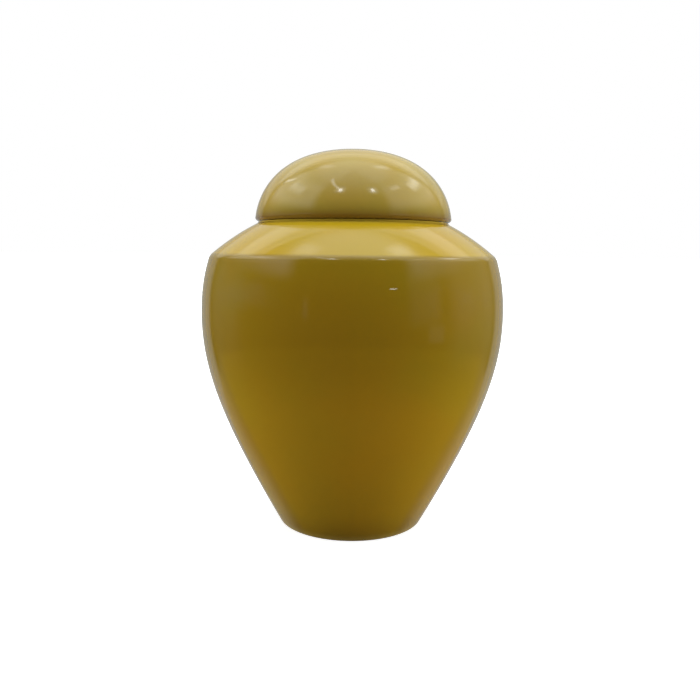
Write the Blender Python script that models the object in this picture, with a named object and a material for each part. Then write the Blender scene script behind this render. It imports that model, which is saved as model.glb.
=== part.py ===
"""A lidded ceramic urn in the form of a ginger jar, in metres, standing on z = 0.

It has two pieces, both turned about the z axis. The jar is hollow, with a foot ring, a firm shoulder,
a small step and a neck. The domed lid drops over the neck and rests on the step, and lifts off.
An outline is a row of points (radius, height), with the clay on the left of its direction of travel.
"""

import math

import bmesh
import bpy
from mathutils import Vector

# How finely the rounds are cut
SEGMENTS = 56
LOWER_WALL_STEPS = 8
UPPER_WALL_STEPS = 3
SLOPE_STEPS = 3
DOME_STEPS = 10
LARGE_ROUND_STEPS = 4
SMALL_ROUND_STEPS = 2
MERGE_DISTANCE = 1e-6

# The jar's outside, from the ground up
FOOT_RADIUS = 0.0481
FOOT_ROUNDING = 0.0030
FOOT_FLARE = math.radians(29.1)
BELLY_RADIUS = 0.1000
BELLY_HEIGHT = 0.1420
SHOULDER_INSET = 0.0048
SHOULDER_RISE = 0.0370
SHOULDER_ROUNDING = 0.0110
SHOULDER_LEAN = math.radians(10.2)
SLOPE_LOW = math.radians(41.5)
SLOPE_HIGH = math.radians(26.6)
SLOPE_RISE = 0.0226
STEP_RISE = 0.0017
STEP_COVE = 0.0010
STEP_ROUNDING = 0.0005

# How far each end's direction holds along a curve, as a share of the straight line between its ends
FOOT_FULLNESS = 0.55
BELLY_FULLNESS_BELOW = 0.23
BELLY_FULLNESS_ABOVE = 0.60
SHOULDER_FULLNESS = 0.13
SLOPE_FULLNESS = 0.33
DOME_SIDE_FULLNESS = 0.105
DOME_TOP_FULLNESS = 0.73

# The jar's inside, neck and underside
WALL = 0.0055
SHOULDER_INNER_ROUNDING = 0.0040
FLOOR_THICKNESS = 0.0065
FLOOR_COVE = 0.0140
FOOT_RING_WIDTH = 0.0135
RECESS_DEPTH = 0.0025
RECESS_SLANT = 0.0020
NECK_HEIGHT = 0.0100
NECK_WALL = 0.0050
NECK_COVE = 0.0012
LIP_ROUNDING = 0.0020
THROAT_ROUNDING = 0.0030

# The lid and how it sits
LID_RADIUS = 0.0647
LID_HEIGHT = 0.0457
LID_WALL = 0.0055
LID_OVERHANG = 0.0023
LID_EDGE_ROUNDING = 0.0022
LID_RIM_ROUNDING = 0.0012
NECK_CLEARANCE = 0.0012
SEAT_GAP = 0.0003

# The glaze, the same on both pieces
GLAZE_COLOUR = (0.36, 0.24, 0.03, 1.0)
GLAZE_ROUGHNESS = 0.12

UP = Vector((0.0, 1.0))
OUT = Vector((1.0, 0.0))
SEAT_HEIGHT = BELLY_HEIGHT + SHOULDER_RISE + SLOPE_RISE + STEP_RISE
STEP_RADIUS = LID_RADIUS - LID_OVERHANG


def heading(angle):
    """A unit step at this angle, counted from straight out towards straight up."""
    return math.cos(angle) * OUT + math.sin(angle) * UP


def curve(start, start_pull, end_pull, end, steps, inset):
    """Points along a cubic curve between two ends, moved into the clay by the inset."""
    near = start + start_pull
    far = end + end_pull
    points = []
    for index in range(steps + 1):
        t = index / steps
        s = 1.0 - t
        place = s**3 * start + 3.0 * s * s * t * near + 3.0 * s * t * t * far + t**3 * end
        along = s * s * start_pull + 2.0 * s * t * (far - near) - t * t * end_pull
        along.normalize()
        points.append(place + inset * Vector((-along.y, along.x)))
    return points


def directions(run, following):
    """The unit directions in which one run of points ends and the next one starts."""
    into = (run[-1] - run[-2]).normalized()
    away = (following[1] - following[0]).normalized()
    return into, away


def rounding(run, following, radius, steps):
    """The arc that rounds the corner where the end of one run meets the start of the next."""
    into, away = directions(run, following)
    turn = math.atan2(into.cross(away), into.dot(away))
    to_corner = (following[0] - run[-1]).cross(away) / into.cross(away)
    corner = run[-1] + to_corner * into
    start = corner - radius * math.tan(abs(turn) / 2.0) * into
    side = math.copysign(radius, turn) * Vector((-into.y, into.x))
    centre = start + side
    arc = []
    for index in range(steps + 1):
        angle = turn * index / steps
        arc.append(centre - side * math.cos(angle) + into * radius * math.sin(abs(angle)))
    return arc


def outline(first, *rest):
    """Runs of points joined end to end; each later run comes after its corner's radius and steps."""
    done = []
    run = first
    for radius, steps, following in rest:
        into, away = directions(run, following)
        arc = rounding(run, following, radius, steps)
        done += [point for point in run if (arc[0] - point).dot(into) > MERGE_DISTANCE]
        beyond = [point for point in following if (point - arc[-1]).dot(away) > MERGE_DISTANCE]
        run = arc + beyond
    return done + run


def wall_run(inset):
    """The jar's wall, from the ground past the belly to the shoulder."""
    foot = FOOT_RADIUS * OUT
    belly = BELLY_RADIUS * OUT + BELLY_HEIGHT * UP
    shoulder = belly - SHOULDER_INSET * OUT + SHOULDER_RISE * UP
    flare = heading(math.pi / 2.0 - FOOT_FLARE)
    lean = heading(math.pi / 2.0 + SHOULDER_LEAN)
    below = (belly - foot).length
    above = (shoulder - belly).length
    foot_pull = FOOT_FULLNESS * below * flare
    belly_pull = -BELLY_FULLNESS_BELOW * below * UP
    lower = curve(foot, foot_pull, belly_pull, belly, LOWER_WALL_STEPS, inset)
    belly_pull = BELLY_FULLNESS_ABOVE * above * UP
    shoulder_pull = -SHOULDER_FULLNESS * above * lean
    upper = curve(belly, belly_pull, shoulder_pull, shoulder, UPPER_WALL_STEPS, inset)
    return lower + upper[1:]


def slope_run(inset):
    """The jar's sloping top, from the shoulder in to the step."""
    low = (BELLY_RADIUS - SHOULDER_INSET) * OUT + (BELLY_HEIGHT + SHOULDER_RISE) * UP
    high = STEP_RADIUS * OUT + (SEAT_HEIGHT - STEP_RISE) * UP
    pull = SLOPE_FULLNESS * (high - low).length
    start_pull = pull * heading(math.pi - SLOPE_LOW)
    end_pull = -pull * heading(math.pi - SLOPE_HIGH)
    return curve(low, start_pull, end_pull, high, SLOPE_STEPS, inset)


def dome_run(inset):
    """The lid's dome, from its rim at height 0 up to the axis."""
    rim = LID_RADIUS * OUT
    top = LID_HEIGHT * UP
    across = (top - rim).length
    return curve(rim, DOME_SIDE_FULLNESS * across * UP, DOME_TOP_FULLNESS * across * OUT, top, DOME_STEPS, inset)


def radius_at(run, height):
    """The radius at which a rising run of points reaches a height."""
    for low, high in zip(run, run[1:]):
        if low.y <= height <= high.y:
            return low.x + (high.x - low.x) * (height - low.y) / (high.y - low.y)
    return run[-1].x


def jar_outline():
    """The jar's whole section: underside, outside, seat, neck, inside and floor."""
    ring_inner = FOOT_RADIUS - FOOT_RING_WIDTH
    neck_radius = radius_at(dome_run(LID_WALL), NECK_HEIGHT) - NECK_CLEARANCE
    mouth_radius = neck_radius - NECK_WALL
    neck_top = SEAT_HEIGHT + NECK_HEIGHT
    floor = RECESS_DEPTH + FLOOR_THICKNESS
    lip_rounding = min(LIP_ROUNDING, NECK_WALL / 2.5)
    underside = [
        RECESS_DEPTH * UP,
        (ring_inner - RECESS_SLANT) * OUT + RECESS_DEPTH * UP,
        ring_inner * OUT,
        FOOT_RADIUS * OUT,
    ]
    step = [STEP_RADIUS * OUT + (SEAT_HEIGHT - STEP_RISE) * UP, STEP_RADIUS * OUT + SEAT_HEIGHT * UP]
    seat = [STEP_RADIUS * OUT + SEAT_HEIGHT * UP, neck_radius * OUT + SEAT_HEIGHT * UP]
    neck = [neck_radius * OUT + SEAT_HEIGHT * UP, neck_radius * OUT + neck_top * UP]
    lip = [neck_radius * OUT + neck_top * UP, mouth_radius * OUT + neck_top * UP]
    throat = [mouth_radius * OUT + neck_top * UP, mouth_radius * OUT + SEAT_HEIGHT * UP]
    return outline(
        underside,
        (FOOT_ROUNDING, LARGE_ROUND_STEPS, wall_run(0.0)),
        (SHOULDER_ROUNDING, LARGE_ROUND_STEPS, slope_run(0.0)),
        (STEP_COVE, SMALL_ROUND_STEPS, step),
        (STEP_ROUNDING, 1, seat),
        (NECK_COVE, 1, neck),
        (lip_rounding, SMALL_ROUND_STEPS, lip),
        (lip_rounding, SMALL_ROUND_STEPS, throat),
        (THROAT_ROUNDING, SMALL_ROUND_STEPS, slope_run(WALL)[::-1]),
        (SHOULDER_INNER_ROUNDING, SMALL_ROUND_STEPS, wall_run(WALL)[::-1]),
        (FLOOR_COVE, LARGE_ROUND_STEPS, [FOOT_RADIUS * OUT + floor * UP, floor * UP]),
    )


def lid_outline():
    """The lid's whole section, from the top of its hollow out to the rim and back over the dome."""
    rim = [(LID_RADIUS - LID_WALL) * OUT, LID_RADIUS * OUT]
    return outline(
        dome_run(LID_WALL)[::-1],
        (LID_RIM_ROUNDING, SMALL_ROUND_STEPS, rim),
        (LID_EDGE_ROUNDING, LARGE_ROUND_STEPS, dome_run(0.0)),
    )


def glaze(name):
    """A glossy ochre glaze."""
    material = bpy.data.materials.new(name)
    material.use_nodes = True
    shader = material.node_tree.nodes["Principled BSDF"]
    shader.inputs["Base Color"].default_value = GLAZE_COLOUR
    shader.inputs["Roughness"].default_value = GLAZE_ROUGHNESS
    shader.inputs["Metallic"].default_value = 0.0
    material.diffuse_color = GLAZE_COLOUR
    return material


def turned(name, points, material):
    """An object made by turning an outline, whose two ends lie on the axis, once round z."""
    shape = bmesh.new()
    corners = [shape.verts.new((point.x, 0.0, point.y)) for point in points]
    edges = [shape.edges.new(pair) for pair in zip(corners, corners[1:])]
    bmesh.ops.spin(
        shape,
        geom=corners + edges,
        axis=(0.0, 0.0, 1.0),
        cent=(0.0, 0.0, 0.0),
        angle=2.0 * math.pi,
        steps=SEGMENTS,
        use_merge=True,
    )
    bmesh.ops.remove_doubles(shape, verts=shape.verts, dist=MERGE_DISTANCE)
    bmesh.ops.recalc_face_normals(shape, faces=shape.faces)
    mesh = bpy.data.meshes.new(name)
    shape.to_mesh(mesh)
    shape.free()
    mesh.shade_smooth()
    mesh.set_sharp_from_angle(angle=math.radians(35.0))
    mesh.materials.append(material)
    piece = bpy.data.objects.new(name, mesh)
    bpy.context.scene.collection.objects.link(piece)
    return piece


def build():
    """The jar on the ground and the lid on its seat, both held by one empty."""
    for item in list(bpy.data.objects):
        bpy.data.objects.remove(item, do_unlink=True)
    urn = bpy.data.objects.new("urn", None)
    bpy.context.scene.collection.objects.link(urn)
    jar = turned("jar", jar_outline(), glaze("jar_glaze"))
    lid = turned("lid", lid_outline(), glaze("lid_glaze"))
    lid.location.z = SEAT_HEIGHT + SEAT_GAP
    jar.parent = urn
    lid.parent = urn


build()
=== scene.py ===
"""The dressed urn: a turned jar and its domed lid in glossy ochre glaze, on a pale floor in soft light."""

import logging
import math
from dataclasses import dataclass
from enum import Enum

import bmesh
import bpy
from mathutils import Euler, Matrix, Vector


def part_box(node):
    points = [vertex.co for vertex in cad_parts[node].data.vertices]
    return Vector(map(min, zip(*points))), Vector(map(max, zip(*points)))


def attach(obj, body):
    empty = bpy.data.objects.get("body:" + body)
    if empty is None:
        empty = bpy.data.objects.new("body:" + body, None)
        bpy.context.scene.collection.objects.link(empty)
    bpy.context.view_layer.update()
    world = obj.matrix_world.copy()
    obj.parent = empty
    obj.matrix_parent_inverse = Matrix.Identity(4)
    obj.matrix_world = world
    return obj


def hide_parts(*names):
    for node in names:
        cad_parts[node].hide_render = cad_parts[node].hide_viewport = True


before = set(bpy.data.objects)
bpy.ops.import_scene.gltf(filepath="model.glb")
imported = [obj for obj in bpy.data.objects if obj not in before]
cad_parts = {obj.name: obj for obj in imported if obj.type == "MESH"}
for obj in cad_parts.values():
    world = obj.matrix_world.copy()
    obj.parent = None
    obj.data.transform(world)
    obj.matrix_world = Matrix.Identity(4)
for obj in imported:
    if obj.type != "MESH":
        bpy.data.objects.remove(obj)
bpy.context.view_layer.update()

LOG = logging.getLogger("urn")
PICTURE_SIDE = 700
SENSOR_WIDTH = 36.0
NO_EDGE = 400.0
OUT = Vector((1.0, 0.0))
UP = Vector((0.0, 1.0))
PALE_OCHRE = (0.360, 0.262, 0.044, 1.0)
# The lid's band just above its rim: partly deeper glaze, partly painted shade on its downward-facing lower
# edge.
DEEP_OCHRE_AND_PAINTED_SHADE = (0.276, 0.206, 0.026, 1.0)
# The lid's top: partly paler glaze, partly painted light from above.
PALEST_OCHRE_AND_PAINTED_LIGHT = (0.475, 0.345, 0.052, 1.0)

Colour = tuple[float, float, float, float]
Run = list[Vector]


class Surface(Enum):
    """What covers a stretch of a turned piece."""

    GLAZED = 0.0
    BARE = 1.0


class Ray(Enum):
    """The kinds of ray that the surroundings answer to, by their names on Blender's Light Path node."""

    SEEN = "Is Camera Ray"
    MIRRORED = "Is Glossy Ray"


class Angle(Enum):
    """How a direction from the urn is measured, in degrees."""

    AZIMUTH = "from the camera's side, growing to its right"
    WIDTH = "the azimuth without its sign"
    ELEVATION = "above the level"
    PITCH = "above the level behind, over the top and down in front"


@dataclass
class Stretch:
    """A run of outline points, and how it meets the stretch before it.

    Points are (radius, height), with the clay on the left of the direction of travel. The glaze thins on the
    corner between the two, or pools there in a cove, by the given share. A negative share does the opposite.
    """

    points: Run
    surface: Surface = Surface.GLAZED
    corner_radius: float = 0.0
    corner_steps: int = 8
    glaze_run: float = 1.0


@dataclass
class Outline:
    """A turned piece's whole section, with what its glaze does at each point."""

    places: Run
    bare: list[float]
    thin: list[float]


def heading(angle: float) -> Vector:
    """A unit step at this angle, counted from straight out towards straight up."""
    return math.cos(angle) * OUT + math.sin(angle) * UP


def curve(start: Vector, start_pull: Vector, end_pull: Vector, end: Vector, steps: int, inset: float) -> Run:
    """Makes a cubic curve between two ends.

    Args:
        start: Where the curve begins.
        start_pull: The handle at its start, counted from the start.
        end_pull: The handle at its end, counted from the end.
        end: Where the curve finishes.
        steps: The number of straight pieces.
        inset: How far the points are moved into the clay.

    Returns:
        The points along the curve, both ends included.
    """
    near = start + start_pull
    far = end + end_pull
    points = []
    for index in range(steps + 1):
        t = index / steps
        s = 1.0 - t
        place = s**3 * start + 3.0 * s * s * t * near + 3.0 * s * t * t * far + t**3 * end
        along = (s * s * start_pull + 2.0 * s * t * (far - near) - t * t * end_pull).normalized()
        points.append(place + inset * Vector((-along.y, along.x)))
    return points


def radius_at(run: Run, height: float) -> float:
    """Finds where a rising run of points passes a height.

    Args:
        run: Points from low to high.
        height: The height to look for.

    Returns:
        The radius there, or the last point's radius if the run stays lower.
    """
    for low, high in zip(run, run[1:]):
        if low.y <= height <= high.y:
            return low.x + (high.x - low.x) * (height - low.y) / (high.y - low.y)
    return run[-1].x


def rounding(run: Run, following: Run, radius: float, steps: int) -> tuple[Run, float]:
    """Makes the arc between the end of one run and the start of the next.

    Args:
        run: The run that comes first.
        following: The run that comes next.
        radius: The arc's radius.
        steps: The number of straight pieces in the arc.

    Returns:
        The arc's points, and how far the outline turns there, in radians, positive on an outer edge.
    """
    into = (run[-1] - run[-2]).normalized()
    away = (following[1] - following[0]).normalized()
    turn = math.atan2(into.cross(away), into.dot(away))
    to_corner = (following[0] - run[-1]).cross(away) / into.cross(away)
    corner = run[-1] + to_corner * into
    start = corner - radius * math.tan(abs(turn) / 2.0) * into
    side = math.copysign(radius, turn) * Vector((-into.y, into.x))
    arc = []
    for index in range(steps + 1):
        angle = turn * index / steps
        arc.append(start + side - side * math.cos(angle) + into * radius * math.sin(abs(angle)))
    return arc, turn


@dataclass
class Turner:
    """Joins stretches into one outline, rounds their corners and notes where the glaze runs thin or pools.

    Glaze pulls away from an outer edge and gathers in a cove, by an amount that fades with distance.
    """

    longest_step: float = 0.0022
    glaze_creep: float = 0.0035
    sharp_radius: float = 0.0040
    tolerance: float = 1e-6

    def join(self, stretches: list[Stretch]) -> Outline:
        """Joins the stretches.

        Args:
            stretches: The stretches in order, from the axis round to the axis.

        Returns:
            The outline, with no step longer than the longest allowed.
        """
        done: list[tuple[Vector, float]] = []
        edges: list[tuple[Vector, float]] = []
        first = stretches[0]
        run = [(point, first.surface.value) for point in first.points]
        for stretch in stretches[1:]:
            ends = [point for point, _ in run]
            arc, turn = rounding(ends, stretch.points, stretch.corner_radius, stretch.corner_steps)
            sharpness = turn * min(1.0, self.sharp_radius / stretch.corner_radius)
            edges.append((arc[len(arc) // 2], sharpness * stretch.glaze_run))
            into = (ends[-1] - ends[-2]).normalized()
            away = (stretch.points[1] - stretch.points[0]).normalized()
            done += [mark for mark in run if (arc[0] - mark[0]).dot(into) > self.tolerance]
            bare = min(run[-1][1], stretch.surface.value)
            run = [(point, bare) for point in arc]
            beyond = [point for point in stretch.points if (point - arc[-1]).dot(away) > self.tolerance]
            run += [(point, stretch.surface.value) for point in beyond]
        marks = self.divide(done + run)
        places = [place for place, _ in marks]
        thin = [self.thinness(place, edges) for place in places]
        return Outline(places, [bare for _, bare in marks], thin)

    def divide(self, marks: list[tuple[Vector, float]]) -> list[tuple[Vector, float]]:
        """Adds points wherever two neighbours are too far apart.

        Args:
            marks: Each point with how bare it is.

        Returns:
            The same row of points with the new ones between them.
        """
        close = [marks[0]]
        for (here, bare_here), (there, bare_there) in zip(marks, marks[1:]):
            parts = max(1, math.ceil((there - here).length / self.longest_step))
            for part in range(1, parts + 1):
                bare = bare_there if part == parts else min(bare_here, bare_there)
                close.append((here.lerp(there, part / parts), bare))
        return close

    def thinness(self, place: Vector, edges: list[tuple[Vector, float]]) -> float:
        """Says how far the glaze has crept away from a place, or gathered there.

        Args:
            place: A point of the outline.
            edges: Each rounded corner's middle and its strength.

        Returns:
            About 1 on a sharp outer edge, 0 on a plain wall and -1 in a cove.
        """
        total = 0.0
        for middle, strength in edges:
            total += strength * math.exp(-((place - middle).length / self.glaze_creep) ** 2)
        return max(-1.0, min(1.0, total))


@dataclass
class NodeTree:
    """A short way to write node trees of any kind."""

    tree: bpy.types.NodeTree

    def add(
        self, kind: str, inputs: dict[int | str, object] | None = None, **settings: object
    ) -> bpy.types.Node:
        """Adds a node.

        Args:
            kind: The node's Blender type.
            inputs: Values or sockets for its inputs, by name or place.
            settings: The node's own properties.

        Returns:
            The new node.
        """
        node = self.tree.nodes.new(kind)
        for name, value in settings.items():
            setattr(node, name, value)
        for key, value in (inputs or {}).items():
            self.feed(node.inputs[key], value)
        return node

    def feed(self, socket: bpy.types.NodeSocket, value: object) -> None:
        """Links a socket to another, or sets its own value."""
        if isinstance(value, bpy.types.NodeSocket):
            self.tree.links.new(value, socket)
        else:
            socket.default_value = value

    def math(self, operation: str, *values: object, clamp: bool = False) -> bpy.types.NodeSocket:
        """Adds a Math node on numbers or sockets and gives its result."""
        node = self.add("ShaderNodeMath", dict(enumerate(values)), operation=operation, use_clamp=clamp)
        return node.outputs[0]

    def ramp(
        self, value: object, low: float, high: float, to_low: float, to_high: float
    ) -> bpy.types.NodeSocket:
        """Adds a smooth step.

        Args:
            value: The number or socket that is read.
            low: Where the step begins.
            high: Where it ends.
            to_low: What it gives before it begins.
            to_high: What it gives after it ends.

        Returns:
            The socket with the result.
        """
        inputs = {0: value, 1: low, 2: high, 3: to_low, 4: to_high}
        node = self.add("ShaderNodeMapRange", inputs, interpolation_type="SMOOTHSTEP")
        return node.outputs[0]

    def blend(self, factor: object, first: object, second: object) -> bpy.types.NodeSocket:
        """Adds a colour mix and gives its result."""
        node = self.add("ShaderNodeMix", {0: factor, 6: first, 7: second}, data_type="RGBA")
        return node.outputs[2]

    def tint(self, amount: bpy.types.NodeSocket, colour: Colour) -> bpy.types.NodeSocket:
        """Multiplies a colour by an amount, which may be above 1, and gives the result."""
        terms = {0: colour[:3], "Scale": amount}
        return self.add("ShaderNodeVectorMath", terms, operation="SCALE").outputs[0]


@dataclass(frozen=True)
class OchreGlaze:
    """A glossy ochre glaze over pale clay, mottled, thin on outer edges and pooled in coves; the thin edges
    are paler and whiter, partly painted reflection.

    Its colour changes with the height above the ground over two spans, and its top band is paler, partly
    painted light from above; a painted shade darkens it towards the ground at the foot. The given values are
    the jar's.
    """

    name: str
    colour: Colour = (0.254, 0.166, 0.0070, 1.0)
    low_colour: Colour = (0.322, 0.203, 0.0090, 1.0)
    # Paler band over the slope: partly paler glaze, partly painted light from above.
    top_colour_with_painted_light: Colour = (0.428, 0.284, 0.0070, 1.0)
    low_span: tuple[float, float] = (0.085, 0.130)
    top_span: tuple[float, float] = (0.1802, 0.1822)
    warmth: Colour = (1.06, 0.97, 0.90, 1.0)
    # Paler, whiter colour on outer edges: partly thin glaze, partly painted reflection.
    thin_glaze_and_reflection_colour: Colour = (0.510, 0.370, 0.095, 1.0)
    # Darker colour where glaze pools in coves, also used for the painted shade at the foot.
    pooled_glaze_and_shade_colour: Colour = (0.160, 0.075, 0.010, 1.0)
    roughness: float = 0.05
    roughness_spread: float = 0.03
    refraction: float = 1.50
    cloud_scale: float = 14.0
    cloud_span: tuple[float, float] = (0.35, 0.65)
    smudge_scale: float = 35.0
    smudge_span: tuple[float, float] = (0.3, 0.7)
    peel_scale: float = 260.0
    peel_depth: float = 0.00002
    pooling: float = 0.8
    # Painted shade: the glaze darkens towards the ground, where shade falls on the foot.
    foot_painted_shade_height: float = 0.022
    foot_painted_shade: float = 0.30

    def make(self) -> bpy.types.Material:
        """Builds the glaze.

        Returns:
            A material that reads Object coordinates and the piece's own thinness.
        """
        material = bpy.data.materials.new(self.name)
        material.use_nodes = True
        material.diffuse_color = self.colour
        nodes = NodeTree(material.node_tree)
        shader = material.node_tree.nodes["Principled BSDF"]
        place = nodes.add("ShaderNodeTexCoord").outputs["Object"]
        thin = nodes.add("ShaderNodeAttribute", attribute_name="thin").outputs["Fac"]
        height = nodes.add("ShaderNodeSeparateXYZ", {0: place}).outputs["Z"]
        nodes.feed(shader.inputs["Base Color"], self.colours(nodes, place, thin, height))
        smudge = nodes.add("ShaderNodeTexNoise", {"Vector": place, "Scale": self.smudge_scale, "Detail": 2.0})
        low, high = self.roughness - self.roughness_spread, self.roughness + self.roughness_spread
        gloss = nodes.ramp(smudge.outputs["Fac"], *self.smudge_span, low, high)
        nodes.feed(shader.inputs["Roughness"], gloss)
        shader.inputs["IOR"].default_value = self.refraction
        peel = nodes.add("ShaderNodeTexNoise", {"Vector": place, "Scale": self.peel_scale, "Detail": 1.0})
        relief = {"Height": peel.outputs["Fac"], "Strength": 1.0, "Distance": self.peel_depth}
        nodes.feed(shader.inputs["Normal"], nodes.add("ShaderNodeBump", relief).outputs["Normal"])
        return material

    def colours(
        self,
        nodes: NodeTree,
        place: bpy.types.NodeSocket,
        thin: bpy.types.NodeSocket,
        height: bpy.types.NodeSocket,
    ) -> bpy.types.NodeSocket:
        """Mixes the glaze's colours.

        Args:
            nodes: The material's tree.
            place: Object coordinates.
            thin: The piece's thinness.
            height: The height above the ground.

        Returns:
            The socket with the colour.
        """
        cloud = nodes.add("ShaderNodeTexNoise", {"Vector": place, "Scale": self.cloud_scale, "Detail": 3.0})
        side = nodes.blend(nodes.ramp(height, *self.low_span, 0.0, 1.0), self.low_colour, self.colour)
        # The top band adds painted light from above to the glaze's own colour.
        plain = nodes.blend(nodes.ramp(height, *self.top_span, 0.0, 1.0), side, self.top_colour_with_painted_light)
        warmed = nodes.add("ShaderNodeVectorMath", {0: plain, 1: self.warmth[:3]}, operation="MULTIPLY")
        clouds = nodes.ramp(cloud.outputs["Fac"], *self.cloud_span, 0.0, 1.0)
        body = nodes.blend(clouds, plain, warmed.outputs[0])
        # Outer edges turn paler and whiter: partly thin glaze, partly painted reflection.
        edged = nodes.blend(nodes.math("MAXIMUM", thin, 0.0), body, self.thin_glaze_and_reflection_colour)
        pool = nodes.math("MAXIMUM", nodes.math("MULTIPLY", thin, -1.0), 0.0)
        pooled = nodes.blend(nodes.math("MULTIPLY", pool, self.pooling), edged, self.pooled_glaze_and_shade_colour)
        # Painted shade at the foot, blended towards the pooled colour near the ground.
        foot = nodes.ramp(height, 0.0, self.foot_painted_shade_height, self.foot_painted_shade, 0.0)
        return nodes.blend(foot, pooled, self.pooled_glaze_and_shade_colour)


@dataclass(frozen=True)
class BareClay:
    """Fired clay without glaze, matt and pale, as on a foot ring."""

    name: str = "bare_clay"
    colour: Colour = (0.52, 0.44, 0.34, 1.0)
    speck_colour: Colour = (0.30, 0.23, 0.16, 1.0)
    roughness: float = 0.85
    speck_scale: float = 700.0
    speck_span: tuple[float, float] = (0.58, 0.70)
    speck_strength: float = 0.8
    grain_scale: float = 1500.0
    grain_depth: float = 0.00008

    def make(self) -> bpy.types.Material:
        """Builds the clay.

        Returns:
            A material that reads Object coordinates.
        """
        material = bpy.data.materials.new(self.name)
        material.use_nodes = True
        material.diffuse_color = self.colour
        nodes = NodeTree(material.node_tree)
        shader = material.node_tree.nodes["Principled BSDF"]
        place = nodes.add("ShaderNodeTexCoord").outputs["Object"]
        specks = nodes.add("ShaderNodeTexNoise", {"Vector": place, "Scale": self.speck_scale, "Detail": 2.0})
        amount = nodes.ramp(specks.outputs["Fac"], *self.speck_span, 0.0, self.speck_strength)
        nodes.feed(shader.inputs["Base Color"], nodes.blend(amount, self.colour, self.speck_colour))
        shader.inputs["Roughness"].default_value = self.roughness
        grain = nodes.add("ShaderNodeTexNoise", {"Vector": place, "Scale": self.grain_scale, "Detail": 3.0})
        relief = {"Height": grain.outputs["Fac"], "Strength": 1.0, "Distance": self.grain_depth}
        nodes.feed(shader.inputs["Normal"], nodes.add("ShaderNodeBump", relief).outputs["Normal"])
        return material


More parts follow.
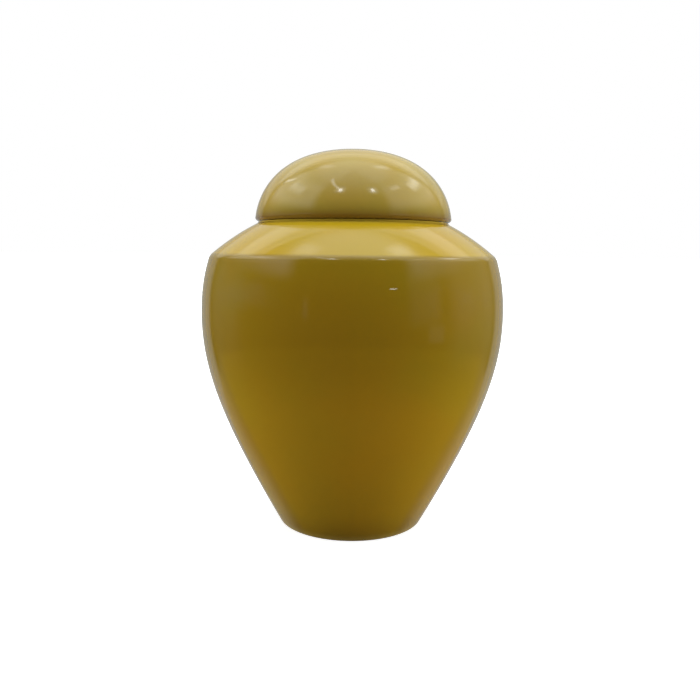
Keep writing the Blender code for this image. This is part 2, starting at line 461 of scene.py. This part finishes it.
@dataclass
class Lathe:
    """Turns an outline round the z axis with Geometry Nodes, with a hand-finished wall's slight waver."""

    segments: int = 224
    waver: float = 0.00010
    waver_scale: float = 22.0
    seed: float = 3.0
    weld: float = 1e-6
    steady_radius: float = 0.012
    wholly_bare: float = 0.99

    def turn(
        self, name: str, outline: Outline, glaze: bpy.types.Material, clay: bpy.types.Material
    ) -> bpy.types.Object:
        """Makes a turned piece.

        Args:
            name: The piece's name.
            outline: Its section, from the axis round to the axis.
            glaze: What covers the glazed stretches.
            clay: What shows on the bare ones.

        Returns:
            An object with a plain mesh, at the origin.
        """
        piece = self.section(name, outline)
        tree = self.tree()
        modifier = piece.modifiers.new("turning", "NODES")
        modifier.node_group = tree
        values = {
            "Rows": len(outline.places),
            "Segments": self.segments,
            "Waver": self.waver,
            "Waver Scale": self.waver_scale,
            "Seed": self.seed,
            "Weld": self.weld,
            "Steady Radius": self.steady_radius,
            "Glaze": glaze,
            "Clay": clay,
        }
        for item in tree.interface.items_tree:
            if item.name in values:
                modifier[item.identifier] = values[item.name]
        bpy.context.view_layer.update()
        evaluated = piece.evaluated_get(bpy.context.evaluated_depsgraph_get())
        mesh = bpy.data.meshes.new_from_object(evaluated)
        piece.modifiers.remove(modifier)
        section = piece.data
        piece.data = mesh
        mesh.name = name
        bpy.data.meshes.remove(section)
        bpy.data.node_groups.remove(tree)
        return piece

    def section(self, name: str, outline: Outline) -> bpy.types.Object:
        """Lays the outline out as loose points in the plane of x and z.

        Args:
            name: The object's name.
            outline: The section.

        Returns:
            An object whose points carry how bare and how thin the glaze is.
        """
        mesh = bpy.data.meshes.new(name)
        mesh.from_pydata([(place.x, 0.0, place.y) for place in outline.places], [], [])
        for label, values in (("bare", outline.bare), ("thin", outline.thin)):
            mesh.attributes.new(label, "FLOAT", "POINT").data.foreach_set("value", values)
        piece = bpy.data.objects.new(name, mesh)
        bpy.context.scene.collection.objects.link(piece)
        return piece

    def tree(self) -> bpy.types.NodeTree:
        """Builds the tree that turns a row of points into a closed solid.

        Returns:
            A Geometry Nodes tree with its sizes as named inputs.
        """
        group = bpy.data.node_groups.new("turning", "GeometryNodeTree")
        face = group.interface
        face.new_socket("Section", in_out="INPUT", socket_type="NodeSocketGeometry")
        for label in ("Rows", "Segments"):
            face.new_socket(label, in_out="INPUT", socket_type="NodeSocketInt")
        for label in ("Waver", "Waver Scale", "Seed", "Weld", "Steady Radius"):
            face.new_socket(label, in_out="INPUT", socket_type="NodeSocketFloat")
        for label in ("Glaze", "Clay"):
            face.new_socket(label, in_out="INPUT", socket_type="NodeSocketMaterial")
        face.new_socket("Piece", in_out="OUTPUT", socket_type="NodeSocketGeometry")
        nodes = NodeTree(group)
        given = nodes.add("NodeGroupInput").outputs
        columns = nodes.math("ADD", given["Segments"], 1.0)
        sheet = nodes.add("GeometryNodeMeshGrid", {"Vertices X": columns, "Vertices Y": given["Rows"]})
        index = nodes.add("GeometryNodeInputIndex").outputs[0]
        row = nodes.math("MODULO", index, given["Rows"])
        column = nodes.math("FLOOR", nodes.math("DIVIDE", index, given["Rows"]))
        whole_turn = nodes.math("DIVIDE", nodes.math("MULTIPLY", column, math.tau), given["Segments"])
        position = nodes.add("GeometryNodeInputPosition").outputs[0]
        on_section = self.read_row(nodes, given["Section"], position, row, "FLOAT_VECTOR")
        radius_height = nodes.add("ShaderNodeSeparateXYZ", {0: on_section})
        radius, height = radius_height.outputs["X"], radius_height.outputs["Z"]
        place = self.place(nodes, radius, height, whole_turn)
        noise = {"Vector": place, "W": given["Seed"], "Scale": given["Waver Scale"], "Detail": 1.0}
        swell = nodes.add("ShaderNodeTexNoise", noise, noise_dimensions="4D").outputs[0]
        swell = nodes.math("MULTIPLY", nodes.math("SUBTRACT", swell, 0.5), given["Waver"])
        near_axis = nodes.math("DIVIDE", radius, given["Steady Radius"], clamp=True)
        wavered = nodes.math("ADD", radius, nodes.math("MULTIPLY", swell, near_axis))
        shaped = nodes.add(
            "GeometryNodeSetPosition",
            {"Geometry": sheet.outputs["Mesh"], "Position": self.place(nodes, wavered, height, whole_turn)},
        ).outputs[0]
        for label in ("bare", "thin"):
            named = nodes.add("GeometryNodeInputNamedAttribute", {"Name": label}, data_type="FLOAT")
            value = self.read_row(nodes, given["Section"], named.outputs[0], row, "FLOAT")
            store = {"Geometry": shaped, "Name": label, "Value": value}
            shaped = nodes.add("GeometryNodeStoreNamedAttribute", store, data_type="FLOAT").outputs[0]
        weld = {"Geometry": shaped, "Distance": given["Weld"]}
        closed = nodes.add("GeometryNodeMergeByDistance", weld).outputs[0]
        smooth = nodes.add("GeometryNodeSetShadeSmooth", {"Geometry": closed}).outputs[0]
        real = nodes.add("GeometryNodeRealizeInstances", {"Geometry": smooth}).outputs[0]
        dress = {"Geometry": real, "Material": given["Glaze"]}
        glazed = nodes.add("GeometryNodeSetMaterial", dress).outputs[0]
        named = nodes.add("GeometryNodeInputNamedAttribute", {"Name": "bare"}, data_type="FLOAT")
        limits = {0: named.outputs[0], 1: self.wholly_bare}
        is_bare = nodes.add("FunctionNodeCompare", limits, operation="GREATER_THAN")
        dress = {"Geometry": glazed, "Selection": is_bare.outputs[0], "Material": given["Clay"]}
        dressed = nodes.add("GeometryNodeSetMaterial", dress).outputs[0]
        nodes.add("NodeGroupOutput", {"Piece": dressed})
        return group

    def read_row(
        self,
        nodes: NodeTree,
        section: bpy.types.NodeSocket,
        value: bpy.types.NodeSocket,
        row: bpy.types.NodeSocket,
        kind: str,
    ) -> bpy.types.NodeSocket:
        """Reads a value of the section's points at a row.

        Args:
            nodes: The tree.
            section: The section's points.
            value: What is read.
            row: Which point it is read at.
            kind: The value's type.

        Returns:
            The socket with the value.
        """
        inputs = {"Geometry": section, "Index": row}
        node = nodes.add("GeometryNodeSampleIndex", inputs, data_type=kind, domain="POINT")
        nodes.feed(node.inputs["Value"], value)
        return node.outputs[0]

    def place(
        self,
        nodes: NodeTree,
        radius: bpy.types.NodeSocket,
        height: bpy.types.NodeSocket,
        angle: bpy.types.NodeSocket,
    ) -> bpy.types.NodeSocket:
        """Turns a radius, a height and an angle into a position.

        Args:
            nodes: The tree.
            radius: The distance from the axis.
            height: The height above the ground.
            angle: The angle round the axis, in radians.

        Returns:
            The socket with the position.
        """
        across = nodes.math("MULTIPLY", radius, nodes.math("COSINE", angle))
        along = nodes.math("MULTIPLY", radius, nodes.math("SINE", angle))
        return nodes.add("ShaderNodeCombineXYZ", {0: across, 1: along, 2: height}).outputs[0]


@dataclass
class Lid:
    """The domed lid, which rests on the jar's step, over its neck.

    Its rim sits lower than the frame's by the drop, which the jar's seat follows.
    """

    wall: float = 0.0055
    radius: float = 0.0647
    edge_rounding: float = 0.0022
    rim_rounding: float = 0.0012
    drop: float = 0.0010
    side_fullness: float = 0.105
    top_fullness: float = 0.73
    dome_steps: int = 60
    inner_steps: int = 40

    def __post_init__(self) -> None:
        """Takes the rim's place and the lid's height from the frame."""
        low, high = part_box("lid")
        self.base = low[2] - self.drop
        self.height = high[2] - self.base

    def dome(self, inset: float, steps: int) -> Run:
        """Makes the dome's curve from its rim up to the axis.

        Args:
            inset: How far the curve lies inside the outer face.
            steps: The number of straight pieces.

        Returns:
            The points, at the height where the lid rests.
        """
        rim = self.radius * OUT + self.base * UP
        top = (self.base + self.height) * UP
        across = (top - rim).length
        side_pull = self.side_fullness * across * UP
        top_pull = self.top_fullness * across * OUT
        return curve(rim, side_pull, top_pull, top, steps, inset)

    def stretches(self) -> list[Stretch]:
        """Lists the lid's section from the top of its hollow, under the rim and back over the dome."""
        rim = [(self.radius - self.wall) * OUT + self.base * UP, self.radius * OUT + self.base * UP]
        return [
            Stretch(self.dome(self.wall, self.inner_steps)[::-1]),
            Stretch(rim, Surface.BARE, self.rim_rounding, 5),
            Stretch(self.dome(0.0, self.dome_steps), Surface.GLAZED, self.edge_rounding, 10, -0.75),
        ]

    def glaze(self) -> OchreGlaze:
        """Gives the lid's glaze, paler than the jar's; darkest just above the rim, partly deeper glaze and
        partly painted shade, and palest on top, partly painted light from above.

        Returns:
            The glaze.
        """
        return OchreGlaze(
            "lid_glaze",
            colour=PALE_OCHRE,
            # Painted shade just above the rim, painted light on the top.
            low_colour=DEEP_OCHRE_AND_PAINTED_SHADE,
            top_colour_with_painted_light=PALEST_OCHRE_AND_PAINTED_LIGHT,
            low_span=(0.205, 0.215),
            top_span=(0.226, 0.246),
        )

    def build(self, lathe: Lathe, clay: bpy.types.Material) -> bpy.types.Object:
        """Turns the lid and puts it in place of its CAD node.

        Args:
            lathe: What turns it.
            clay: The bare clay of its rim.

        Returns:
            The finished lid.
        """
        lid = lathe.turn("lid_turned", Turner().join(self.stretches()), self.glaze().make(), clay)
        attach(lid, "root")
        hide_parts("lid")
        return lid


@dataclass
class Jar:
    """The hollow jar: a foot ring, a wall that swells to the belly, a firm shoulder, a low step and a neck.

    The step's face slopes by step_run over step_fall, which has to bring its foot down to the sloping top.
    """

    lid: Lid
    foot_radius: float = 0.0481
    foot_rounding: float = 0.0030
    foot_flare: float = math.radians(29.1)
    belly_height: float = 0.1420
    shoulder_inset: float = 0.0053
    shoulder_rise: float = 0.0376
    shoulder_rounding: float = 0.0054
    shoulder_lean: float = math.radians(10.2)
    slope_low: float = math.radians(41.5)
    slope_high: float = math.radians(26.6)
    slope_rise: float = 0.0220
    step_rise: float = 0.0007
    step_reach: float = 0.0002
    step_run: float = 0.0006
    step_fall: float = 0.0010
    step_cove: float = 0.0008
    step_edge_rounding: float = 0.0003
    foot_fullness: float = 0.55
    belly_fullness_below: float = 0.23
    belly_fullness_above: float = 0.60
    shoulder_fullness: float = 0.13
    slope_fullness: float = 0.33
    wall: float = 0.0055
    shoulder_inner_rounding: float = 0.0040
    floor_thickness: float = 0.0065
    floor_cove: float = 0.0140
    foot_ring_width: float = 0.0135
    recess_depth: float = 0.0025
    recess_slant: float = 0.0020
    recess_rounding: float = 0.0004
    neck_wall: float = 0.0050
    neck_cove: float = 0.0012
    neck_clearance: float = 0.0012
    mouth_rounding: float = 0.0020
    throat_rounding: float = 0.0030
    lid_overhang: float = 0.0023
    wall_steps: int = 60
    slope_steps: int = 16

    def __post_init__(self) -> None:
        """Takes the belly's width and the neck's top from the frame, and works out the seat."""
        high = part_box("jar")[1]
        self.belly_radius = high[0]
        self.neck_top = high[2]
        self.shoulder_height = self.belly_height + self.shoulder_rise
        self.slope_top = self.shoulder_height + self.slope_rise
        self.seat = self.slope_top + self.step_rise
        self.step_radius = self.lid.radius - self.lid_overhang
        neck_height = self.neck_top - self.seat + self.lid.base
        inside = radius_at(self.lid.dome(self.lid.wall, self.lid.inner_steps), neck_height)
        self.neck_radius = inside - self.neck_clearance
        self.mouth_radius = self.neck_radius - self.neck_wall

    def side(self, inset: float) -> Run:
        """Makes the wall's curve, from the ground past the belly to the shoulder.

        Args:
            inset: How far the curve lies inside the outer face.

        Returns:
            The points from low to high.
        """
        foot = self.foot_radius * OUT
        belly = self.belly_radius * OUT + self.belly_height * UP
        shoulder = belly - self.shoulder_inset * OUT + self.shoulder_rise * UP
        below = (belly - foot).length
        above = (shoulder - belly).length
        foot_pull = self.foot_fullness * below * heading(math.pi / 2.0 - self.foot_flare)
        belly_pull = -self.belly_fullness_below * below * UP
        lower = curve(foot, foot_pull, belly_pull, belly, self.wall_steps, inset)
        belly_pull = self.belly_fullness_above * above * UP
        shoulder_pull = -self.shoulder_fullness * above * heading(math.pi / 2.0 + self.shoulder_lean)
        upper = curve(belly, belly_pull, shoulder_pull, shoulder, self.slope_steps, inset)
        return lower + upper[1:]

    def slope(self, inset: float) -> Run:
        """Makes the sloping top's curve, from the shoulder in to the step.

        Args:
            inset: How far the curve lies inside the outer face.

        Returns:
            The points from the shoulder inwards.
        """
        low = (self.belly_radius - self.shoulder_inset) * OUT + self.shoulder_height * UP
        high = self.step_radius * OUT + self.slope_top * UP
        pull = self.slope_fullness * (high - low).length
        start_pull = pull * heading(math.pi - self.slope_low)
        end_pull = -pull * heading(math.pi - self.slope_high)
        return curve(low, start_pull, end_pull, high, self.slope_steps, inset)

    def stretches(self) -> list[Stretch]:
        """Lists the jar's section: underside, outside, seat, neck, inside and floor.

        Returns:
            The stretches from the axis round to the axis.
        """
        ring_inner = self.foot_radius - self.foot_ring_width
        floor = self.recess_depth + self.floor_thickness
        recess_edge = (ring_inner - self.recess_slant) * OUT + self.recess_depth * UP
        seat_edge = (self.step_radius + self.step_reach) * OUT + self.seat * UP
        step_foot = seat_edge + self.step_run * OUT - self.step_fall * UP
        neck_foot = self.neck_radius * OUT + self.seat * UP
        mouth_outer = self.neck_radius * OUT + self.neck_top * UP
        mouth_inner = self.mouth_radius * OUT + self.neck_top * UP
        throat = self.mouth_radius * OUT + self.seat * UP
        bare, glazed = Surface.BARE, Surface.GLAZED
        return [
            Stretch([self.recess_depth * UP, recess_edge], bare),
            Stretch([recess_edge, ring_inner * OUT], bare, self.recess_rounding, 3),
            Stretch([ring_inner * OUT, self.foot_radius * OUT], bare, self.recess_rounding, 3),
            Stretch(self.side(0.0), glazed, self.foot_rounding, 10),
            Stretch(self.slope(0.0), glazed, self.shoulder_rounding, 12, 0.2),
            Stretch([step_foot, seat_edge], glazed, self.step_cove, 6, 0.0),
            Stretch([seat_edge, neck_foot], bare, self.step_edge_rounding, 4, 0.3),
            Stretch([neck_foot, mouth_outer], glazed, self.neck_cove, 5),
            Stretch([mouth_outer, mouth_inner], glazed, self.mouth_rounding, 6),
            Stretch([mouth_inner, throat], glazed, self.mouth_rounding, 6),
            Stretch(self.slope(self.wall)[::-1], glazed, self.throat_rounding, 6),
            Stretch(self.side(self.wall)[::-1], glazed, self.shoulder_inner_rounding, 6),
            Stretch([self.foot_radius * OUT + floor * UP, floor * UP], glazed, self.floor_cove, 8),
        ]

    def build(self, lathe: Lathe, clay: bpy.types.Material) -> bpy.types.Object:
        """Turns the jar and puts it in place of its CAD node.

        Args:
            lathe: What turns it.
            clay: The bare clay of its foot ring and seat.

        Returns:
            The finished jar.
        """
        glaze = OchreGlaze("jar_glaze").make()
        jar = lathe.turn("jar_turned", Turner().join(self.stretches()), glaze, clay)
        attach(jar, "root")
        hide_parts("jar")
        return jar


@dataclass(frozen=True)
class Glow:
    """A soft-edged patch of light round the urn, placed by direction in degrees.

    It lies between two heights and, unless it goes all the way round, between two sides. A slant lets it
    climb as its azimuth grows, and a patch over the top is hidden where the backdrop stands before it.
    """

    name: str
    brightness: float
    low: float
    high: float
    fade: float
    left: float = -NO_EDGE
    right: float = NO_EDGE
    side_fade: float = 10.0
    across: Angle = Angle.AZIMUTH
    up: Angle = Angle.ELEVATION
    slant: float = 0.0
    over_top: bool = False
    top_span: tuple[float, float] = (57.0, 61.5)
    colour: Colour = (0.94, 0.99, 1.0, 1.0)

    def light(self, nodes: NodeTree, angles: dict[Angle, bpy.types.NodeSocket]) -> bpy.types.NodeSocket:
        """Builds the patch.

        Args:
            nodes: The world's tree.
            angles: The direction's angles.

        Returns:
            The socket with the light that the patch gives in this direction.
        """
        climb = angles[self.up]
        if self.slant:
            climb = nodes.math("MULTIPLY_ADD", angles[self.across], -self.slant, climb)
        light = self.edges(nodes, climb, self.low, self.high, self.fade, self.brightness)
        if self.left > -NO_EDGE:
            sides = self.edges(nodes, angles[self.across], self.left, self.right, self.side_fade, 1.0)
            light = nodes.math("MULTIPLY", light, sides)
        if self.over_top:
            clear = nodes.ramp(angles[Angle.PITCH], *self.top_span, 0.0, 1.0)
            light = nodes.math("MULTIPLY", light, clear)
        light.node.label = self.name
        return light

    def edges(
        self,
        nodes: NodeTree,
        value: bpy.types.NodeSocket,
        low: float,
        high: float,
        fade: float,
        level: float,
    ) -> bpy.types.NodeSocket:
        """Gives a level between two soft edges and nothing beyond them.

        Args:
            nodes: The world's tree.
            value: The angle that is read.
            low: The middle of the lower edge.
            high: The middle of the upper edge, or NO_EDGE for none.
            fade: How many degrees each edge takes.
            level: What it gives between them.

        Returns:
            The socket with the result.
        """
        rise = nodes.ramp(value, low - fade / 2.0, low + fade / 2.0, 0.0, level)
        if high >= NO_EDGE:
            return rise
        fall = nodes.ramp(value, high - fade / 2.0, high + fade / 2.0, 1.0, 0.0)
        return nodes.math("MULTIPLY", rise, fall)


@dataclass
class SoftLight:
    """The light round the urn: what its gloss mirrors, and the even light that falls on it.

    The gloss mirrors a dim room in front, a bright ceiling, pale walls at both sides, a white backdrop
    behind, a wooden table and a few lamps. The spans are heights, or shares of the way to one side.
    """

    room: float = 0.03
    overhead: float = 6.7
    overhead_span: tuple[float, float] = (0.86, 0.97)
    overhead_tint: Colour = (1.0, 1.04, 1.06, 1.0)
    horizon_span: tuple[float, float] = (-0.02, 0.02)
    sides_span: tuple[float, float] = (0.75, 0.97)
    sides_low: float = 10.5
    sides_high: float = 0.4
    sides_fall: tuple[float, float] = (0.12, 0.36)
    sides_tint: Colour = (1.0, 1.10, 1.15, 1.0)
    right_share: float = 0.10
    backdrop: float = 1.0
    floor_tint: Colour = (1.0, 0.87, 0.62, 1.0)
    wood: Colour = (0.30, 0.20, 0.01, 1.0)

    def ceiling(self) -> list[Glow]:
        """Lists the patches overhead, which show on the lid's top."""
        width = Angle.WIDTH
        return [
            Glow("ceiling", 1.05, 57.5, NO_EDGE, 45.0, over_top=True),
            Glow("ceiling right above", 0.35, 84.0, NO_EDGE, 12.0),
            Glow("ceiling behind", 0.65, 61.5, 86.0, 13.0, 40.0, NO_EDGE, 40.0, width, over_top=True),
        ]

    def walls(self) -> list[Glow]:
        """Lists the patches on both sides."""
        return [
            Glow("left wall", 1.40, 23.0, 57.0, 16.0, -124.0, -50.0, 16.0),
            Glow("right wall", 1.17, 23.0, 57.0, 16.0, 46.0, 126.0, 16.0),
            Glow("left wall's bright part", 1.60, 38.5, 47.5, 8.0, -107.0, -77.0, 8.0),
            Glow("right wall's bright part", 3.00, 40.0, 48.0, 8.0, 95.0, 121.0, 8.0),
            Glow("slanting streak on the left", 2.60, 136.5, 140.5, 4.0, -126.0, -116.0, 5.0, slant=0.8),
            Glow("left wall's foot", 0.16, -14.0, 30.0, 36.0, -125.0, -91.0, 20.0),
            Glow("right wall's foot", 0.24, -12.0, 32.0, 36.0, 78.0, 128.0, 20.0),
        ]

    def backdrop_parts(self) -> list[Glow]:
        """Lists the parts of the backdrop, which show along the urn's edges."""
        width, pitch = Angle.WIDTH, Angle.PITCH
        warm = self.floor_tint
        return [
            Glow("backdrop", 0.42, -27.0, 53.5, 4.0, 132.0, NO_EDGE, 8.0, width, pitch),
            Glow("backdrop's foot", 0.42, -78.0, -27.0, 4.0, 128.0, NO_EDGE, 32.0, width, pitch, colour=warm),
            Glow("backdrop's upper half", 0.30, 20.0, 53.5, 3.0, 130.0, NO_EDGE, 4.0, width, pitch),
            Glow("backdrop's top", 0.40, 40.0, 53.5, 3.0, 132.0, NO_EDGE, 4.0, width, pitch),
            Glow("backdrop's upper sides", 0.25, 42.0, 53.5, 4.0, 126.0, 157.0, 14.0, width, pitch),
            Glow("backdrop's rim", 0.90, 53.5, 60.0, 3.0, 128.0, NO_EDGE, 20.0, width, pitch),
        ]

    def lamps(self) -> list[Glow]:
        """Lists the lamps and the streaks beside them, which show on the slope and the lid."""
        return [
            Glow("right lamp", 12.0, 50.5, 55.0, 4.0, 28.0, 33.0, 4.0),
            Glow("right lamp's halo", 2.5, 49.0, 57.0, 8.0, 24.0, 38.0, 8.0),
            Glow("left lamp", 10.0, 50.5, 55.5, 4.0, -24.0, -18.0, 4.0),
            Glow("left lamp's halo", 2.5, 50.0, 58.0, 8.0, -29.0, -14.0, 8.0),
            Glow("left lamp's streak", 4.0, 42.7, 45.7, 4.0, -54.0, -23.0, 10.0, slant=-0.45),
            Glow("right lamp's arm", 2.0, 49.0, 53.0, 5.0, 61.0, 79.0, 5.0),
            Glow("left lamp behind", 1.0, 62.0, 71.0, 6.0, -144.0, -128.0, 12.0, over_top=True),
            Glow("right lamp behind", 1.6, 62.0, 71.0, 6.0, 128.0, 144.0, 12.0, over_top=True),
        ]

    def low_things(self) -> list[Glow]:
        """Lists the table and what stands low in front, which show on the jar's wall."""
        width, brown = Angle.WIDTH, self.wood
        return [
            Glow("bright dash", 8.0, 14.2, 15.1, 0.6, 27.5, 32.5, 2.0),
            Glow("low post on the left", 0.25, -2.0, 8.0, 5.0, -35.0, -32.0, 2.0),
            Glow("low bar on the right", 0.22, -12.0, -5.0, 3.0, 57.0, 70.0, 4.0),
            Glow("pale block on the right", 0.16, -4.0, 22.0, 8.0, 42.0, 66.0, 8.0),
            Glow("table", 1.0, -NO_EDGE, -15.5, 3.0, 0.0, 120.0, 8.0, width, colour=brown),
        ]

    def glows(self) -> list[Glow]:
        """Lists all the patches."""
        upper = self.ceiling() + self.walls()
        return upper + self.backdrop_parts() + self.lamps() + self.low_things()

    def make(self) -> bpy.types.World:
        """Builds the world, which is plain white where the camera sees it.

        Returns:
            The world.
        """
        world = bpy.data.worlds.new("soft_light")
        bpy.context.scene.world = world
        world.use_nodes = True
        nodes = NodeTree(world.node_tree)
        direction = nodes.add("ShaderNodeTexCoord").outputs["Generated"]
        x, y, z = nodes.add("ShaderNodeSeparateXYZ", {0: direction}).outputs
        rays = nodes.add("ShaderNodeLightPath").outputs
        lit = nodes.blend(rays[Ray.MIRRORED.value], self.falling(nodes, x, z), self.mirrored(nodes, x, y, z))
        seen = nodes.blend(rays[Ray.SEEN.value], lit, (self.backdrop, self.backdrop, self.backdrop, 1.0))
        nodes.feed(world.node_tree.nodes["Background"].inputs["Color"], seen)
        return world

    def mirrored(
        self,
        nodes: NodeTree,
        x: bpy.types.NodeSocket,
        y: bpy.types.NodeSocket,
        z: bpy.types.NodeSocket,
    ) -> bpy.types.NodeSocket:
        """Adds up the patches that the gloss mirrors.

        Args:
            nodes: The world's tree.
            x: The direction to the right.
            y: The direction away from the camera.
            z: The direction up.

        Returns:
            The socket with their light.
        """
        towards = nodes.math("MULTIPLY", y, -1.0)
        azimuth = nodes.math("DEGREES", nodes.math("ARCTAN2", x, towards))
        width = nodes.math("ABSOLUTE", azimuth)
        elevation = nodes.math("DEGREES", nodes.math("ARCSINE", z))
        angles = {
            Angle.AZIMUTH: azimuth,
            Angle.WIDTH: width,
            Angle.ELEVATION: elevation,
            Angle.PITCH: nodes.math("DEGREES", nodes.math("ARCTAN2", z, y)),
        }
        total: object = (self.room, self.room, self.room)
        for glow in self.glows():
            terms = {0: glow.light(nodes, angles), 1: glow.colour[:3], 2: total}
            total = nodes.add("ShaderNodeVectorMath", terms, operation="MULTIPLY_ADD").outputs[0]
        return total

    def falling(
        self, nodes: NodeTree, x: bpy.types.NodeSocket, z: bpy.types.NodeSocket
    ) -> bpy.types.NodeSocket:
        """Makes the even light: a broad lamp overhead and brighter sides, a little more from the right.

        Args:
            nodes: The world's tree.
            x: The direction to the right.
            z: The direction up.

        Returns:
            The socket with the light.
        """
        overhead = nodes.ramp(z, *self.overhead_span, 0.0, self.overhead)
        width = nodes.math("ABSOLUTE", x)
        above = nodes.ramp(z, *self.horizon_span, 0.0, 1.0)
        level = nodes.ramp(z, *self.sides_fall, self.sides_low, self.sides_high)
        even = nodes.math("MULTIPLY", nodes.ramp(width, *self.sides_span, 0.0, 1.0), level)
        sides = nodes.math("MULTIPLY", even, nodes.math("MULTIPLY_ADD", x, self.right_share, 1.0))
        sides = nodes.math("MULTIPLY", sides, above)
        parts = {0: nodes.tint(overhead, self.overhead_tint), 1: nodes.tint(sides, self.sides_tint)}
        return nodes.add("ShaderNodeVectorMath", parts, operation="ADD").outputs[0]


@dataclass
class Studio:
    """A pale floor, soft light from above and from the sides, and the camera."""

    focal_pixels: float = 740.0
    camera_distance: float = 0.4994
    camera_height: float = 0.1834
    camera_pitch: float = math.radians(7.58)
    camera_roll: float = math.radians(0.63)
    aside_pixels: float = 1.93
    floor_radius: float = 30.0
    floor_segments: int = 96
    floor_seen: float = 0.80
    floor_glow: float = 0.86
    floor_colour: Colour = (0.47, 0.355, 0.265, 1.0)

    def make_camera(self) -> bpy.types.Object:
        """Puts the camera at the photograph's viewing angle.

        Returns:
            The camera.
        """
        data = bpy.data.cameras.new("camera")
        data.sensor_width = SENSOR_WIDTH
        data.lens = self.focal_pixels / PICTURE_SIDE * SENSOR_WIDTH
        data.shift_x = -self.aside_pixels / PICTURE_SIDE
        camera = bpy.data.objects.new("camera", data)
        tilt = Euler((math.pi / 2.0 - self.camera_pitch, 0.0, 0.0)).to_matrix()
        roll = Matrix.Rotation(self.camera_roll, 3, "Z")
        camera.rotation_euler = (tilt @ roll).to_euler()
        camera.location = (0.0, -self.camera_distance, self.camera_height)
        bpy.context.scene.collection.objects.link(camera)
        bpy.context.scene.camera = camera
        return camera

    def make_floor(self) -> bpy.types.Object:
        """Lays the floor.

        Returns:
            The floor.
        """
        shape = bmesh.new()
        bmesh.ops.create_circle(
            shape, cap_ends=True, radius=self.floor_radius, segments=self.floor_segments
        )
        mesh = bpy.data.meshes.new("floor")
        shape.to_mesh(mesh)
        shape.free()
        floor = bpy.data.objects.new("floor", mesh)
        bpy.context.scene.collection.objects.link(floor)
        mesh.materials.append(self.floor_material())
        floor.visible_glossy = False
        return floor

    def floor_material(self) -> bpy.types.Material:
        """Makes the floor's pale matt surface, which throws a warm light back up.

        Returns:
            The material.
        """
        material = bpy.data.materials.new("floor")
        material.use_nodes = True
        nodes = NodeTree(material.node_tree)
        shader = material.node_tree.nodes["Principled BSDF"]
        seen = nodes.add("ShaderNodeLightPath").outputs[Ray.SEEN.value]
        grey = (self.floor_seen, self.floor_seen, self.floor_seen, 1.0)
        nodes.feed(shader.inputs["Base Color"], nodes.blend(seen, self.floor_colour, grey))
        shader.inputs["Roughness"].default_value = 1.0
        shader.inputs["Specular IOR Level"].default_value = 0.0
        nodes.feed(shader.inputs["Emission Strength"], nodes.math("MULTIPLY", seen, self.floor_glow))
        shader.inputs["Emission Color"].default_value = (1.0, 1.0, 1.0, 1.0)
        return material

    def build(self) -> None:
        """Makes the camera, the floor and the light."""
        self.make_camera()
        self.make_floor()
        SoftLight().make()
        view = bpy.context.scene.view_settings
        view.view_transform = "Standard"
        view.look = "None"


def main() -> None:
    """Builds the studio and both pieces, and logs each piece's number of faces."""
    logging.basicConfig(level=logging.INFO, format="%(name)s: %(message)s")
    Studio().build()
    lathe = Lathe()
    clay = BareClay().make()
    lid = Lid()
    for maker in (Jar(lid), lid):
        piece = maker.build(lathe, clay)
        LOG.info("%s: %d faces", piece.name, len(piece.data.polygons))


if __name__ == "__main__":
    main()
